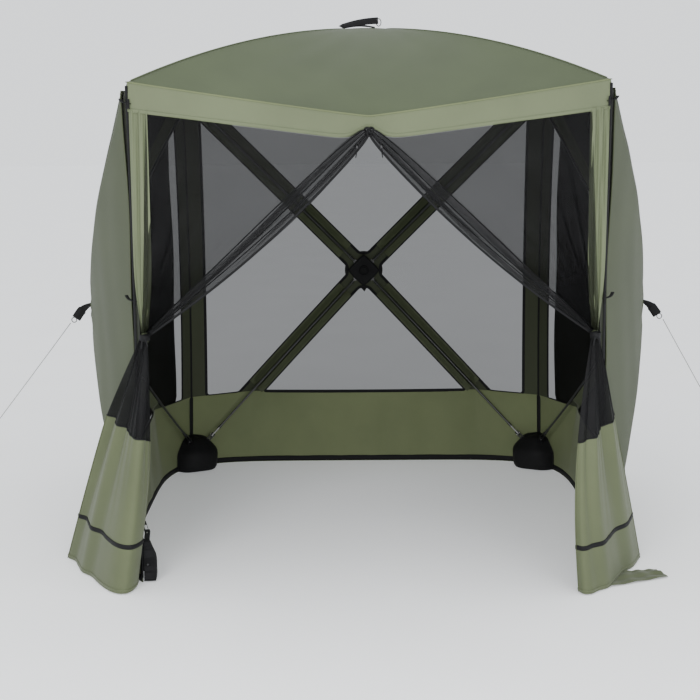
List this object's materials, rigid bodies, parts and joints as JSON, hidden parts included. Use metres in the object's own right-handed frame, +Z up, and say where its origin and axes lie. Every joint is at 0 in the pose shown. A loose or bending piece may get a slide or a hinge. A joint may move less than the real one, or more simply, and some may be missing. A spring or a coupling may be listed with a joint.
{
  "type": "screen house",
  "caption": "Pop-up screen house with a hub roof, three hub walls with mesh windows, side wind panels and a curtained front tied open.",
  "frame": {"origin": "on the ground, under the middle of the shelter's bounding box without its guy lines and their straps and pegs", "axes": "+Z up, +Y from the open curtained front to the back wall, +X to the right as seen from the front"},
  "size_m": [3.4483, 2.0432, 1.9415],
  "materials": {
    "sage_cloth": "matt woven polyester",
    "light_cloth": "matt woven polyester, lit",
    "olive_cloth": "matt woven polyester, inner side",
    "black_mesh": "fine see-through insect mesh",
    "black_webbing": "ribbed webbing and reinforced cloth",
    "black_plastic": "moulded nylon",
    "fibreglass": "black fibreglass rod",
    "steel": "turned steel pin",
    "peg_steel": "grey coated steel",
    "grey_cord": "braided cord"
  },
  "bodies": {
    "root": {"top_front_brackets": "black_plastic", "top_back_brackets": "black_plastic", "bottom_front_brackets": "black_plastic", "bottom_back_brackets": "black_plastic", "corner_pins": "steel", "corner_boots": "black_webbing", "roof_cloth": "sage_cloth", "front_valance": "light_cloth", "left_wall_cloth": "olive_cloth", "right_wall_cloth": "olive_cloth", "back_wall_cloth": "olive_cloth", "window_meshes": "black_mesh", "left_wind_panel": "sage_cloth", "right_wind_panel": "sage_cloth", "front_jambs": "light_cloth", "left_curtain_mesh": "black_mesh", "right_curtain_mesh": "black_mesh", "left_curtain_skirt": "light_cloth", "right_curtain_skirt": "light_cloth", "curtain_ties": "black_webbing", "ground_skirts": "olive_cloth", "left_guy_line": "grey_cord", "right_guy_line": "grey_cord", "left_peg": "peg_steel", "right_peg": "peg_steel"},
    "left_hub": {"left_hub": "black_plastic", "left_hub_cover": "black_webbing", "left_hub_patch": "sage_cloth", "left_pull_strap": "black_webbing"},
    "left_pole_lower_back": {"left_pole_lower_back": "fibreglass"},
    "left_pole_upper_back": {"left_pole_upper_back": "fibreglass"},
    "left_pole_lower_front": {"left_pole_lower_front": "fibreglass"},
    "left_pole_upper_front": {"left_pole_upper_front": "fibreglass"},
    "right_hub": {"right_hub": "black_plastic", "right_hub_cover": "black_webbing", "right_hub_patch": "sage_cloth", "right_pull_strap": "black_webbing"},
    "right_pole_lower_front": {"right_pole_lower_front": "fibreglass"},
    "right_pole_upper_front": {"right_pole_upper_front": "fibreglass"},
    "right_pole_lower_back": {"right_pole_lower_back": "fibreglass"},
    "right_pole_upper_back": {"right_pole_upper_back": "fibreglass"},
    "back_hub": {"back_hub": "black_plastic", "back_hub_cover": "black_webbing", "back_hub_patch": "sage_cloth"},
    "back_pole_lower_right": {"back_pole_lower_right": "fibreglass"},
    "back_pole_upper_right": {"back_pole_upper_right": "fibreglass"},
    "back_pole_lower_left": {"back_pole_lower_left": "fibreglass"},
    "back_pole_upper_left": {"back_pole_upper_left": "fibreglass"},
    "roof_hub": {"roof_hub": "black_plastic", "roof_hub_cover": "black_webbing", "roof_hub_patch": "sage_cloth"},
    "roof_pole_front_left": {"roof_pole_front_left": "fibreglass"},
    "roof_pole_back_left": {"roof_pole_back_left": "fibreglass"},
    "roof_pole_front_right": {"roof_pole_front_right": "fibreglass"},
    "roof_pole_back_right": {"roof_pole_back_right": "fibreglass"},
    "roof_strap": {"roof_pull_strap": "black_webbing"},
    "back_strap": {"back_pull_strap": "black_webbing"},
    "left_zip": {"left_zip_slider": "black_plastic"},
    "right_zip": {"right_zip_slider": "black_plastic"}
  },
  "joints": [
    {"name": "left_hub_push", "type": "slide", "parent": "root", "child": "left_hub", "axis": [-1, 0, 0], "range_m": [-0.175, 0]},
    {"name": "left_pole_lower_back_hinge", "type": "hinge", "parent": "left_hub", "child": "left_pole_lower_back", "pos_m": [-1.05318, -0.01647, 0.83909], "axis": [0, 0.7194, 0.6946], "range_deg": [0, 10.2]},
    {"name": "left_pole_upper_back_hinge", "type": "hinge", "parent": "left_hub", "child": "left_pole_upper_back", "pos_m": [-1.05318, -0.01647, 0.91391], "axis": [0, -0.7194, 0.6946], "range_deg": [0, 10.2]},
    {"name": "left_pole_lower_front_hinge", "type": "hinge", "parent": "left_hub", "child": "left_pole_lower_front", "pos_m": [-1.05318, -0.08871, 0.83909], "axis": [0, 0.7194, -0.6946], "range_deg": [0, 10.2]},
    {"name": "left_pole_upper_front_hinge", "type": "hinge", "parent": "left_hub", "child": "left_pole_upper_front", "pos_m": [-1.05318, -0.08871, 0.91391], "axis": [0, -0.7194, -0.6946], "range_deg": [0, 10.2]},
    {"name": "right_hub_push", "type": "slide", "parent": "root", "child": "right_hub", "axis": [1, 0, 0], "range_m": [-0.175, 0]},
    {"name": "right_pole_lower_front_hinge", "type": "hinge", "parent": "right_hub", "child": "right_pole_lower_front", "pos_m": [1.05318, -0.08871, 0.83909], "axis": [0, -0.7194, 0.6946], "range_deg": [0, 10.2]},
    {"name": "right_pole_upper_front_hinge", "type": "hinge", "parent": "right_hub", "child": "right_pole_upper_front", "pos_m": [1.05318, -0.08871, 0.91391], "axis": [0, 0.7194, 0.6946], "range_deg": [0, 10.2]},
    {"name": "right_pole_lower_back_hinge", "type": "hinge", "parent": "right_hub", "child": "right_pole_lower_back", "pos_m": [1.05318, -0.01647, 0.83909], "axis": [0, -0.7194, -0.6946], "range_deg": [0, 10.2]},
    {"name": "right_pole_upper_back_hinge", "type": "hinge", "parent": "right_hub", "child": "right_pole_upper_back", "pos_m": [1.05318, -0.01647, 0.91391], "axis": [0, 0.7194, -0.6946], "range_deg": [0, 10.2]},
    {"name": "back_hub_push", "type": "slide", "parent": "root", "child": "back_hub", "axis": [0, 1, 0], "range_m": [-0.175, 0]},
    {"name": "back_pole_lower_right_hinge", "type": "hinge", "parent": "back_hub", "child": "back_pole_lower_right", "pos_m": [0.03612, 1.00059, 0.83909], "axis": [0.7194, 0, 0.6946], "range_deg": [0, 10.2]},
    {"name": "back_pole_upper_right_hinge", "type": "hinge", "parent": "back_hub", "child": "back_pole_upper_right", "pos_m": [0.03612, 1.00059, 0.91391], "axis": [-0.7194, 0, 0.6946], "range_deg": [0, 10.2]},
    {"name": "back_pole_lower_left_hinge", "type": "hinge", "parent": "back_hub", "child": "back_pole_lower_left", "pos_m": [-0.03612, 1.00059, 0.83909], "axis": [0.7194, 0, -0.6946], "range_deg": [0, 10.2]},
    {"name": "back_pole_upper_left_hinge", "type": "hinge", "parent": "back_hub", "child": "back_pole_upper_left", "pos_m": [-0.03612, 1.00059, 0.91391], "axis": [-0.7194, 0, -0.6946], "range_deg": [0, 10.2]},
    {"name": "roof_hub_push", "type": "slide", "parent": "root", "child": "roof_hub", "axis": [0, 0, 1], "range_m": [-0.15, 0]},
    {"name": "roof_pole_front_left_hinge", "type": "hinge", "parent": "roof_hub", "child": "roof_pole_front_left", "pos_m": [-0.03677, -0.08936, 1.92052], "axis": [-0.7071, 0.7071, 0], "range_deg": [0, 9]},
    {"name": "roof_pole_back_left_hinge", "type": "hinge", "parent": "roof_hub", "child": "roof_pole_back_left", "pos_m": [-0.03677, -0.01582, 1.92052], "axis": [0.7071, 0.7071, 0], "range_deg": [0, 9]},
    {"name": "roof_pole_front_right_hinge", "type": "hinge", "parent": "roof_hub", "child": "roof_pole_front_right", "pos_m": [0.03677, -0.08936, 1.92052], "axis": [-0.7071, -0.7071, 0], "range_deg": [0, 9]},
    {"name": "roof_pole_back_right_hinge", "type": "hinge", "parent": "roof_hub", "child": "roof_pole_back_right", "pos_m": [0.03677, -0.01582, 1.92052], "axis": [0.7071, -0.7071, 0], "range_deg": [0, 9]},
    {"name": "roof_strap_lift", "type": "hinge", "parent": "roof_hub", "child": "roof_strap", "pos_m": [0.035, -0.05259, 1.93752], "axis": [0, 1, 0], "range_deg": [0, 85]},
    {"name": "back_strap_lift", "type": "hinge", "parent": "back_hub", "child": "back_strap", "pos_m": [0, 1.01759, 0.9115], "axis": [1, 0, 0], "range_deg": [0, 85]},
    {"name": "left_zip_slide", "type": "slide", "parent": "root", "child": "left_zip", "axis": [-0.7533, 0, -0.6577], "range_m": [0, 0.85]},
    {"name": "right_zip_slide", "type": "slide", "parent": "root", "child": "right_zip", "axis": [0.7533, 0, -0.6577], "range_m": [0, 0.85]}
  ],
  "couplings": [
    {"joint": "left_pole_lower_back_hinge", "follows": "left_hub_push", "rad_per_m": -1.0016},
    {"joint": "left_pole_upper_back_hinge", "follows": "left_hub_push", "rad_per_m": -1.0016},
    {"joint": "left_pole_lower_front_hinge", "follows": "left_hub_push", "rad_per_m": -1.0016},
    {"joint": "left_pole_upper_front_hinge", "follows": "left_hub_push", "rad_per_m": -1.0016},
    {"joint": "right_pole_lower_front_hinge", "follows": "right_hub_push", "rad_per_m": -1.0016},
    {"joint": "right_pole_upper_front_hinge", "follows": "right_hub_push", "rad_per_m": -1.0016},
    {"joint": "right_pole_lower_back_hinge", "follows": "right_hub_push", "rad_per_m": -1.0016},
    {"joint": "right_pole_upper_back_hinge", "follows": "right_hub_push", "rad_per_m": -1.0016},
    {"joint": "back_pole_lower_right_hinge", "follows": "back_hub_push", "rad_per_m": -1.0016},
    {"joint": "back_pole_upper_right_hinge", "follows": "back_hub_push", "rad_per_m": -1.0016},
    {"joint": "back_pole_lower_left_hinge", "follows": "back_hub_push", "rad_per_m": -1.0016},
    {"joint": "back_pole_upper_left_hinge", "follows": "back_hub_push", "rad_per_m": -1.0016},
    {"joint": "roof_pole_front_left_hinge", "follows": "roof_hub_push", "rad_per_m": -1.0329},
    {"joint": "roof_pole_back_left_hinge", "follows": "roof_hub_push", "rad_per_m": -1.0329},
    {"joint": "roof_pole_front_right_hinge", "follows": "roof_hub_push", "rad_per_m": -1.0329},
    {"joint": "roof_pole_back_right_hinge", "follows": "roof_hub_push", "rad_per_m": -1.0329}
  ]
}
